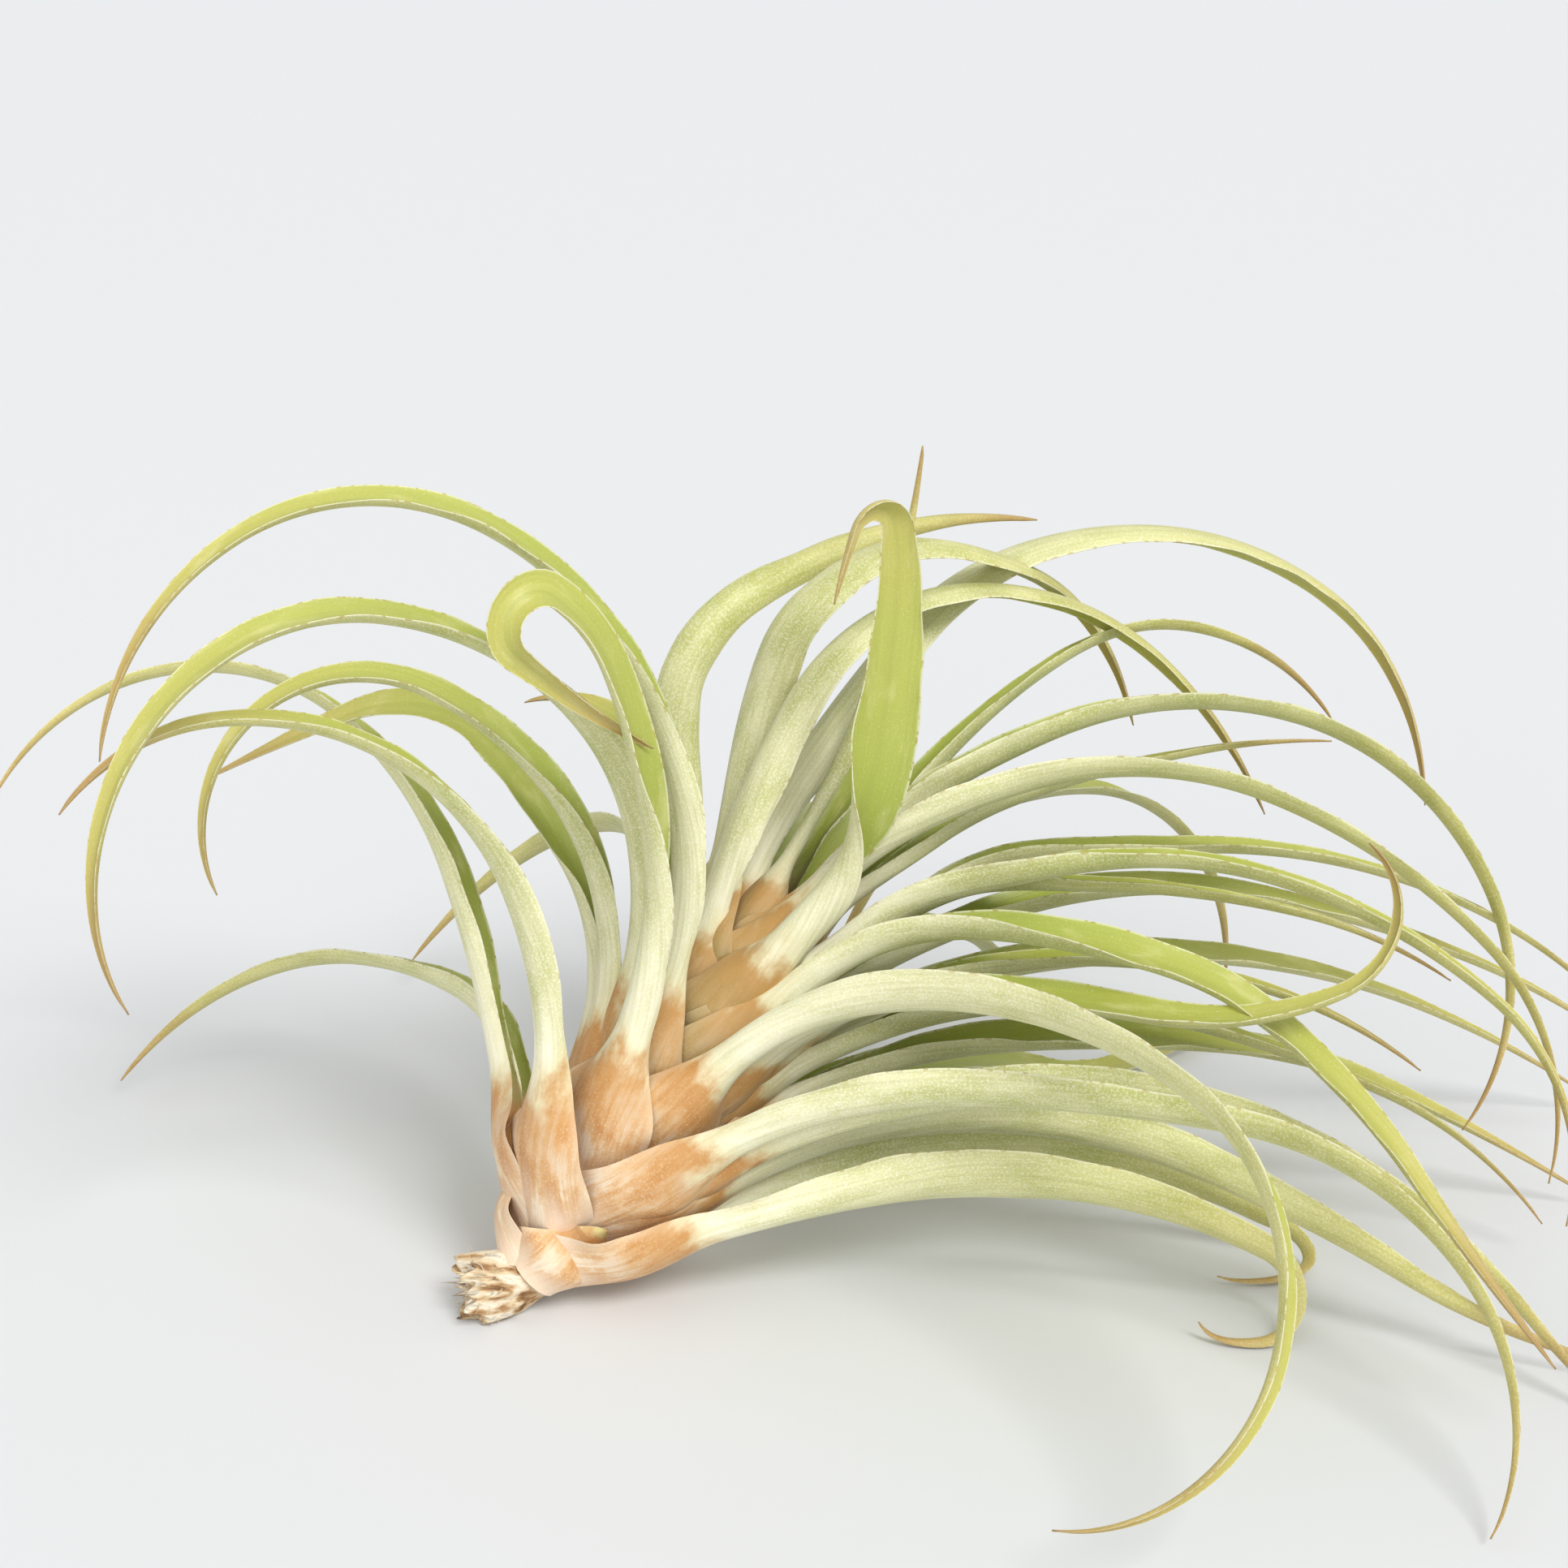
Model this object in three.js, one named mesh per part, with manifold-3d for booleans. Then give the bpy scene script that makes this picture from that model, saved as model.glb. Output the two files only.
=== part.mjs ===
// An air plant lying on its side: a short leafy stem that ends in a broken stump, and long
// channelled leaves that clasp the stem with wide sheaths, arch away from it and taper to threads.
// Millimetres, +Z up. The plant rests on the plane z = 0.
import * as THREE from "three";
import { mergeVertices } from "three/addons/utils/BufferGeometryUtils.js";
import Module from "manifold-3d";

const wasm = await Module();
wasm.setup();

// Driving dimensions.
const stemRise = 45; // degrees that the stem leans up from the table
const stemHeading = 38; // degrees that it points back from +X
const stemFoot = new THREE.Vector3(0, 7, 8); // where the stump turns into the leafy stem
const stemLength = 94; // foot to growing tip
const stemRadius = 6;
const stumpLength = 16;
const stumpFlare = 1.3; // the broken end is wider than the stem
const bladeLength = 250; // a full-grown blade, from its neck to its thread-like tip
const bladeWidth = 21; // a full-grown blade laid flat
const sheathLength = 48; // a full-grown sheath, from the stem to the neck
const sheathWidth = 34; // the same sheath laid flat
const leafThickness = 1.2;
const tipWidth = 1; // the thread at the end of a blade
const channelAngle = 52; // degrees that half a blade is folded up
const clasp = 62; // degrees of the stem that half a sheath may cover
const firstNode = -6; // height of the oldest sheath above the foot
const bareTip = 12; // length of the growing tip above the youngest leaf
const sheathBulge = 2.5; // how far a sheath swells off the stem in its middle
const pieceGap = 0.3;

// Shapes of a leaf, as shares.
const drawInFrom = 0.35; // of the sheath: where it starts to draw in to the blade
const neckAt = 1.1; // of the sheath: where it has drawn in
const swingFrom = 0.6; // of the sheath: where the leaf starts to swing towards its aim
const swingTo = 1.8;
const taper = 1.6; // a higher power keeps a blade wide for longer
const rollBy = 0.4; // of the blade: where its roll is complete
const thinShare = 0.35; // of the thickness: what a thread keeps

// Leaves from the foot of the stem to its tip, the oldest first, evenly spaced up the stem.
// turn: where the leaf sits round the stem, in degrees from the top side towards the front;
// aim: the side it arches to; cone: how far the sheath leans off the stem; sheath, long and wide:
// shares of the driving sizes; roll: degrees that the blade turns about itself; arcs: its lean off
// the stem at the end of each equal arc, four of them, or eight in a blade with a tight curl.
const leaves = [
  { turn: 200, aim: 200, cone: 35, sheath: 0.5, long: 0.04, wide: 0.9, roll: 0, arcs: [35, 35, 35, 40] },
  { turn: -75, aim: -75, cone: 30, sheath: 0.6, long: 0.04, wide: 0.9, roll: 0, arcs: [30, 30, 30, 35] },
  { turn: 80, aim: 80, cone: 25, sheath: 0.35, long: 0.03, wide: 0.9, roll: 0, arcs: [25, 25, 30, 30] },
  { turn: 120, aim: 130, cone: 40, sheath: 0.85, long: 0.75, wide: 1.15,
    roll: -35, arcs: [45, 65, 85, 300] },
  { turn: 155, aim: 135, cone: 35, sheath: 0.85, long: 0.8, wide: 1.1,
    roll: -15, arcs: [45, 65, 85, 270] },
  { turn: -80, aim: -85, cone: 45, sheath: 0.85, long: 0.7, wide: 0.9,
    roll: -20, arcs: [90, 110, 140, 175] },
  { turn: -55, aim: -60, cone: 45, sheath: 0.9, long: 0.9, wide: 0.9,
    roll: -10, arcs: [55, 85, 135, 190] },
  { turn: 0, aim: -15, cone: 40, sheath: 0.95, long: 0.7, wide: 1.0, roll: -10, arcs: [60, 95, 130, 180] },
  { turn: 125, aim: 125, cone: 35, sheath: 0.95, long: 0.9, wide: 1.1, roll: -30, arcs: [50, 80, 90, 70] },
  { turn: 90, aim: 115, cone: 35, sheath: 1.0, long: 1.0, wide: 1.05, roll: -5, arcs: [60, 70, 115, 175] },
  { turn: 220, aim: 220, cone: 40, sheath: 0.9, long: 0.85, wide: 0.95,
    roll: 0, arcs: [55, 75, 105, 140] },
  { turn: 110, aim: 125, cone: 35, sheath: 1.0, long: 0.95, wide: 1.05,
    roll: -15, arcs: [50, 75, 100, 120] },
  { turn: 185, aim: 180, cone: 35, sheath: 0.95, long: 0.9, wide: 0.95,
    roll: 10, arcs: [50, 70, 85, 110] },
  { turn: 20, aim: -5, cone: 30, sheath: 1.0, long: 0.75, wide: 1.0,
    roll: -50, arcs: [35, 45, 55, 65, 95, 270, 275, 280] },
  { turn: -45, aim: -55, cone: 25, sheath: 0.9, long: 0.65, wide: 0.85,
    roll: -75, arcs: [55, 80, 145, 150] },
  { turn: -25, aim: -35, cone: 25, sheath: 0.95, long: 0.75, wide: 0.9,
    roll: -30, arcs: [65, 100, 170, 240] },
  { turn: 250, aim: 255, cone: 30, sheath: 0.9, long: 0.85, wide: 0.9,
    roll: -10, arcs: [55, 90, 130, 170] },
  { turn: 70, aim: 100, cone: 30, sheath: 0.95, long: 1.05, wide: 1.0,
    roll: -5, arcs: [70, 100, 160, 245] },
  { turn: 140, aim: 145, cone: 30, sheath: 1.0, long: 0.9, wide: 0.95, roll: 30, arcs: [50, 60, 80, 85] },
  { turn: -10, aim: -5, cone: 25, sheath: 1.0, long: 1.05, wide: 0.95,
    roll: -10, arcs: [80, 120, 185, 250] },
  { turn: 125, aim: 140, cone: 25, sheath: 1.0, long: 0.85, wide: 0.85,
    roll: 15, arcs: [50, 70, 80, 110] },
  { turn: 95, aim: 115, cone: 25, sheath: 1.0, long: 0.75, wide: 0.95, roll: 40, arcs: [60, 70, 35, -80] },
  { turn: 10, aim: -25, cone: 25, sheath: 0.95, long: 1.0, wide: 0.95,
    roll: -25, arcs: [55, 100, 160, 210] },
  { turn: 160, aim: 155, cone: 25, sheath: 1.0, long: 1.0, wide: 0.9, roll: 20, arcs: [45, 60, 75, 85] },
  { turn: 115, aim: 130, cone: 25, sheath: 1.0, long: 0.65, wide: 0.85, roll: 20, arcs: [40, 60, 75, 95] },
  { turn: 205, aim: 200, cone: 30, sheath: 0.95, long: 0.85, wide: 0.9,
    roll: 0, arcs: [50, 75, 105, 145] },
  { turn: -55, aim: -75, cone: 25, sheath: 0.9, long: 0.4, wide: 0.9, roll: -60, arcs: [35, 50, 90, 130] },
  { turn: 85, aim: 120, cone: 25, sheath: 1.0, long: 0.9, wide: 1.0, roll: 40, arcs: [60, 90, 115, 110] },
  { turn: 130, aim: 150, cone: 20, sheath: 1.0, long: 1.0, wide: 0.85, roll: 20, arcs: [40, 65, 75, 90] },
  { turn: 240, aim: 235, cone: 25, sheath: 0.95, long: 0.8, wide: 0.9, roll: 0, arcs: [50, 80, 120, 160] },
  { turn: 65, aim: 5, cone: 20, sheath: 1.05, long: 0.6, wide: 1.15,
    roll: -115, arcs: [10, 20, 35, 40, 45, 55, 205, 215] },
  { turn: 90, aim: 125, cone: 25, sheath: 1.0, long: 0.95, wide: 0.95,
    roll: 20, arcs: [40, 75, 100, 165] },
  { turn: -65, aim: -10, cone: 25, sheath: 0.8, long: 0.75, wide: 0.75,
    roll: 60, arcs: [45, -25, -40, -60] },
  { turn: 105, aim: 135, cone: 20, sheath: 1.05, long: 0.65, wide: 0.8, roll: 15, arcs: [45, 60, 70, 90] },
  { turn: 120, aim: 145, cone: 20, sheath: 1.0, long: 0.95, wide: 0.8, roll: 15, arcs: [40, 60, 80, 105] },
  { turn: 220, aim: 220, cone: 20, sheath: 0.9, long: 0.75, wide: 0.85,
    roll: 0, arcs: [45, 75, 115, 155] },
  { turn: -10, aim: -20, cone: 20, sheath: 0.7, long: 0.95, wide: 1.05,
    roll: 0, arcs: [5, -50, -90, -120] },
  { turn: 70, aim: 130, cone: 15, sheath: 1.0, long: 1.0, wide: 0.95, roll: 10, arcs: [40, 80, 105, 165] },
  { turn: -30, aim: -15, cone: 10, sheath: 0.9, long: 1.2, wide: 1.15,
    roll: 0, arcs: [-10, -50, -85, -140] },
  { turn: 175, aim: 180, cone: 10, sheath: 0.9, long: 0.8, wide: 0.8, roll: 0, arcs: [35, 60, 95, 135] },
  { turn: -25, aim: -5, cone: 20, sheath: 0.85, long: 0.85, wide: 1.1,
    roll: 0, arcs: [20, -50, -85, -125] },
  { turn: 85, aim: 145, cone: 10, sheath: 0.95, long: 1.1, wide: 0.95, roll: 5, arcs: [30, 70, 120, 185] },
  { turn: 150, aim: 160, cone: 5, sheath: 0.85, long: 0.75, wide: 0.75,
    roll: -10, arcs: [5, 25, 65, 105] },
  { turn: 120, aim: 155, cone: 10, sheath: 0.85, long: 0.6, wide: 0.7, roll: 0, arcs: [30, 40, 45, 55] },
  { turn: -110, aim: -130, cone: 5, sheath: 0.8, long: 0.6, wide: 0.75,
    roll: 0, arcs: [25, 60, 105, 150] },
  { turn: 10, aim: 0, cone: 5, sheath: 0.8, long: 0.45, wide: 0.4, roll: 0, arcs: [10, 25, 30, 35] },
];
const oldSheaths = 3; // the first rows have lost their blades
const nodeStep = (stemLength - bareTip - firstNode) / (leaves.length - 1);

// The stem's own axes: along it, its top side, and its front side (turn 90).
const rad = THREE.MathUtils.degToRad;
const along = new THREE.Vector3(
  Math.cos(rad(stemRise)) * Math.cos(rad(stemHeading)),
  Math.cos(rad(stemRise)) * Math.sin(rad(stemHeading)),
  Math.sin(rad(stemRise)),
);
const front = new THREE.Vector3(Math.sin(rad(stemHeading)), -Math.cos(rad(stemHeading)), 0);
const top = new THREE.Vector3().crossVectors(front, along);

const outward = (turn) =>
  top.clone().multiplyScalar(Math.cos(turn)).addScaledVector(front, Math.sin(turn));
const smoothstep = THREE.MathUtils.smoothstep;

const nameOf = (index) =>
  index < oldSheaths
    ? "sheath_" + (index + 1)
    : "leaf_" + String(index + 1 - oldSheaths).padStart(2, "0");

// Lean off the stem at a share of the blade's length: straight-line steps between the arcs.
function leanAt(leaf, share) {
  const leans = [leaf.cone, ...leaf.arcs];
  const place = share * leaf.arcs.length;
  const step = Math.min(Math.floor(place), leaf.arcs.length - 1);
  return rad(THREE.MathUtils.lerp(leans[step], leans[step + 1], place - step));
}

// A leaf's midline, from its node on the stem to its tip, as stations with their own axes.
const alongSegments = 18;
function midline(leaf, index) {
  const sheath = sheathLength * leaf.sheath;
  const blade = bladeLength * leaf.long;
  const step = (sheath + blade) / alongSegments;
  const baseRadius = stemRadius + leafThickness / 2 + pieceGap;
  const point = stemFoot
    .clone()
    .addScaledVector(along, firstNode + index * nodeStep)
    .addScaledVector(outward(rad(leaf.turn)), baseRadius);
  const stations = [];
  const fine = 8;
  for (let i = 0; i <= alongSegments * fine; i++) {
    const run = (i * step) / fine;
    const share = THREE.MathUtils.clamp((run - sheath) / blade, 0, 1);
    const lean = leanAt(leaf, share);
    const swing = smoothstep(run / sheath, swingFrom, swingTo);
    const side = outward(rad(THREE.MathUtils.lerp(leaf.turn, leaf.aim, swing)));
    const ahead = along.clone().multiplyScalar(Math.cos(lean)).addScaledVector(side, Math.sin(lean));
    if (i % fine === 0) {
      const inner = along.clone().multiplyScalar(Math.sin(lean)).addScaledVector(side, -Math.cos(lean));
      const across = new THREE.Vector3().crossVectors(along, side);
      const roll = rad(leaf.roll) * smoothstep(share, 0, rollBy);
      const swell = Math.sin(Math.PI * Math.min(run / sheath / neckAt, 1)) ** 2;
      const drawnIn = smoothstep(run / sheath, drawInFrom, neckAt);
      const bladePart = bladeWidth * leaf.wide * (1 - share ** taper);
      stations.push({
        point: point.clone().addScaledVector(inner, -sheathBulge * swell),
        across: across.clone().applyAxisAngle(ahead, roll),
        inner: inner.clone().applyAxisAngle(ahead, roll),
        width: tipWidth + THREE.MathUtils.lerp(sheathWidth, bladePart, drawnIn),
        free: smoothstep(run / sheath, 1, 2),
        radius: baseRadius + run * Math.sin(rad(leaf.cone)),
        drawnIn,
      });
    }
    point.addScaledVector(ahead, step / fine);
  }
  return stations;
}

// Blades give way to older ones that they would run into, mostly front to back, and lie on the
// table where they reach it.
const passes = 14;
const roomShare = 0.34; // of two leaves' widths together: how far apart their midlines stay
const tableReach = 6; // most of a half width that counts as standing on the table
function settle(lines) {
  const giveWay = new THREE.Vector3(0.1, 1, 0.1);
  lines.forEach((line, index) => {
    for (let pass = 0; pass < passes; pass++) {
      const shifts = line.map(() => new THREE.Vector3());
      line.forEach((station, k) => {
        for (const other of lines.slice(0, index).flat()) {
          const apart = station.point.clone().sub(other.point);
          const room = roomShare * (station.width + other.width) + 2 * leafThickness;
          const short = room - apart.length();
          if (short > 0 && other.free > 0) {
            const push = apart.normalize().multiply(giveWay);
            shifts[k].addScaledVector(push, short * station.free * other.free);
          }
        }
      });
      line.forEach((station, k) => {
        const before = shifts[Math.max(k - 1, 0)];
        const after = shifts[Math.min(k + 1, alongSegments)];
        station.point.addScaledVector(shifts[k], 0.5).addScaledVector(before, 0.25);
        station.point.addScaledVector(after, 0.25);
      });
    }
    for (const station of line) {
      const half = Math.min(station.width / 2, tableReach) * Math.abs(station.across.z);
      station.point.z = Math.max(station.point.z, half + leafThickness);
    }
  });
}

// A leaf is a flat box, bent into a channel: round the stem in the sheath, folded up in the blade.
function leafGeometry(line, swell = 0) {
  const box = new THREE.BoxGeometry(2, 1, alongSegments, 2, 1, alongSegments);
  const spots = box.getAttribute("position");
  for (let i = 0; i < spots.count; i++) {
    const station = line[Math.round(spots.getZ(i) + alongSegments / 2)];
    const bladeRadius = station.width / 2 / rad(channelAngle);
    const bend = 1 / THREE.MathUtils.lerp(1 / station.radius, 1 / bladeRadius, station.drawnIn);
    const fold = (Math.min(station.width / 2 / bend, rad(clasp)) + swell / bend) * spots.getX(i);
    const thick = leafThickness * Math.min(1, thinShare + station.width / bladeWidth) + 2 * swell;
    const reach = bend - spots.getY(i) * thick;
    const spot = station.point
      .clone()
      .addScaledVector(station.across, reach * Math.sin(fold))
      .addScaledVector(station.inner, bend - reach * Math.cos(fold));
    spots.setXYZ(i, spot.x, spot.y, spot.z);
  }
  return box;
}

// The stem: a round core that ends in the growing tip, with its broken stump turned to the side.
const stumpWay = new THREE.Vector3(-0.97, -0.22, 0).normalize();
const tornDepth = 2.2; // how far the broken end stands up and down
const slimFrom = 0.72; // share of the stem where it starts to slim to the growing tip
const tipRadius = 0.25; // share of the stem's radius
function stemGeometry() {
  const route = new THREE.CatmullRomCurve3([
    stemFoot.clone().addScaledVector(stumpWay, stumpLength),
    stemFoot.clone().addScaledVector(stumpWay, stumpLength / 3),
    stemFoot.clone().addScaledVector(along, stemRadius),
    stemFoot.clone().addScaledVector(along, stemLength / 2),
    stemFoot.clone().addScaledVector(along, stemLength),
  ]);
  const stumpShare = stumpLength / (stumpLength + stemLength);
  const rings = 20;
  const sides = 14;
  const profile = [new THREE.Vector2(0, 0)];
  for (let i = 0; i <= rings; i++) {
    const share = i / rings;
    const slim = 1 - (1 - tipRadius) * smoothstep(share, slimFrom, 1);
    profile.push(new THREE.Vector2(stemRadius * (share < stumpShare ? stumpFlare : slim), share));
  }
  profile.push(new THREE.Vector2(0, 1));
  const core = new THREE.LatheGeometry(profile, sides);
  const spots = core.getAttribute("position");
  for (let i = 0; i < spots.count; i++) {
    const share = spots.getY(i);
    const ahead = route.getTangentAt(share);
    const right = new THREE.Vector3().crossVectors(ahead, top).normalize();
    const up = new THREE.Vector3().crossVectors(right, ahead);
    const around = Math.atan2(spots.getZ(i), spots.getX(i));
    const radius = Math.hypot(spots.getX(i), spots.getZ(i));
    const torn = share === 0 && radius > 0 ? tornDepth * Math.sin(3 * around) : 0;
    const spot = route
      .getPointAt(share)
      .addScaledVector(ahead, torn)
      .addScaledVector(right, radius * Math.cos(around))
      .addScaledVector(up, radius * Math.sin(around));
    spots.setXYZ(i, spot.x, spot.y, spot.z);
  }
  return core;
}

// A closed mesh as a solid, and back.
const weld = 0.001; // vertices nearer than this are one
function solidOf(geometry) {
  geometry.deleteAttribute("normal");
  geometry.deleteAttribute("uv");
  const merged = mergeVertices(geometry, weld);
  const mesh = new wasm.Mesh({
    numProp: 3,
    vertProperties: new Float32Array(merged.getAttribute("position").array),
    triVerts: new Uint32Array(merged.index.array),
  });
  return new wasm.Manifold(mesh);
}

function geometryOf(solid) {
  const mesh = solid.getMesh();
  const geometry = new THREE.BufferGeometry();
  geometry.setAttribute("position", new THREE.BufferAttribute(mesh.vertProperties, 3));
  geometry.setIndex(new THREE.BufferAttribute(mesh.triVerts, 1));
  geometry.computeVertexNormals();
  return geometry;
}

const material = (color, roughness) =>
  new THREE.MeshStandardMaterial({ color, roughness, metalness: 0 });

const plant = new THREE.Group();
plant.name = "air_plant";

const stem = new THREE.Mesh(stemGeometry(), material(0xc9a57c, 0.9));
stem.name = "stem";
plant.add(stem);

// Older leaves are whole, and each younger leaf is cut back to a small gap from what it meets. The
// older leaves swollen by the gap make the cut, and then any that a tight bend still lets through.
// Its largest body is the leaf, judged at the weld distance, so that no hairline holds two together.
const lines = leaves.map(midline);
settle(lines);
const rounding = 0.001; // mm3 of overlap that is only rounding
const pieces = [solidOf(stemGeometry())];
let taken = pieces[0];
lines.forEach((line, index) => {
  let left = solidOf(leafGeometry(line)).subtract(taken);
  for (const piece of pieces) {
    if (left.intersect(piece).volume() > rounding) left = left.subtract(piece);
  }
  const bodies = solidOf(geometryOf(left)).decompose();
  const kept = bodies.reduce((big, body) => (body.volume() > big.volume() ? body : big));
  pieces.push(kept);
  taken = taken.add(solidOf(leafGeometry(line, pieceGap)));
  const leaf = new THREE.Mesh(geometryOf(kept), material(0xbfc99a, 0.75));
  leaf.name = nameOf(index);
  plant.add(leaf);
});

// The origin is the middle of the footprint, on the table.
const extent = new THREE.Box3().setFromObject(plant, true);
const middle = extent.getCenter(new THREE.Vector3());
plant.position.set(-middle.x, -middle.y, -extent.min.z);

export default plant;
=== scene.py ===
import bpy
import math
import numpy as np
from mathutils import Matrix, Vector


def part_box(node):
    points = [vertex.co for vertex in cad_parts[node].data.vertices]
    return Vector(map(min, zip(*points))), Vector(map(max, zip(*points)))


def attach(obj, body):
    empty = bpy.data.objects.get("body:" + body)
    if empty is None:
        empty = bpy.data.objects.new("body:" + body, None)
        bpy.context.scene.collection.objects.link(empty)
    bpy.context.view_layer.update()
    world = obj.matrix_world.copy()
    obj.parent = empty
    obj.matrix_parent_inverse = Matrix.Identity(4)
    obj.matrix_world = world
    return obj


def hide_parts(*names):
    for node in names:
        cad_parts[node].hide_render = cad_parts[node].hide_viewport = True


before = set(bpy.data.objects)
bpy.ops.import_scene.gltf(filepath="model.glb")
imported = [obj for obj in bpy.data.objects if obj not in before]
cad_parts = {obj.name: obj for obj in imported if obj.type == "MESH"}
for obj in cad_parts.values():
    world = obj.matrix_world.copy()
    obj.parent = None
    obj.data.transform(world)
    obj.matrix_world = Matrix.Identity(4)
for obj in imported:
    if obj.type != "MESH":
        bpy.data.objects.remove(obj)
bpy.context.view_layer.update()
mm = 0.001

cameraView = dict(
    fromFoot=(63.2, -643.1, 364.5),       # mm from the stem's foot: right, towards the viewer, up
    lookDown=20,                          # degrees
    lens=67.2, sensor=36,                 # mm
    nearest=0.01, farthest=60,            # metres
)
studio = dict(
    floorWide=16, floorColour="dcdee2",
    floorRough=0.6, floorShine=0.2,
    skyColour="fdfdfb", skyStrength=0.68,
    suns=(                                # from where, degrees wide, strength: the main light and a low fill
        ((0.4, -0.55, 0.74), 24, 1.9),
        ((-0.25, -0.9, 0.3), 60, 0.85),
    ),
    sunColour="fffefb",
)

# The plant's own sizes in millimetres and degrees. They are the CAD model's, apart from where the
# stem slims, which is counted from its foot here, and how softly a blade lifts off the table.
plant = dict(
    stemRise=45, stemHeading=38, foot=(0, 7, 8), stemLength=94, stemRadius=6,
    slimFrom=0.66, tipShare=0.25,         # where the stem starts to slim, and its share of width at its tip
    stumpLength=16, stumpFlare=1.3,
    bladeLength=250, bladeWidth=21, sheathLength=48, sheathWidth=34, thickness=1.2, tipWidth=1, gap=0.3,
    firstNode=-6, lastNode=82,            # where the oldest and the youngest leaf leave the stem
    bulge=2.5, neckAt=1.1,                # a sheath swells over this many sheath lengths
    drawInFrom=0.35, taper=1.6,           # a sheath draws in from here to its neck, and the blade's taper
    swingFrom=0.6, swingTo=1.8,           # sheath lengths over which a leaf swings to its arch's aim
    rollBy=0.4,                           # share of the blade by which it has turned about itself
    stations=18, fineSteps=8,
    passes=14, roomShare=0.34, giveWay=(0.1, 1, 0.1),    # how leaves give way to older ones
    tableReach=6, softBend=2,             # half a blade's reach over the table, and how softly it lifts
)
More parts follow.
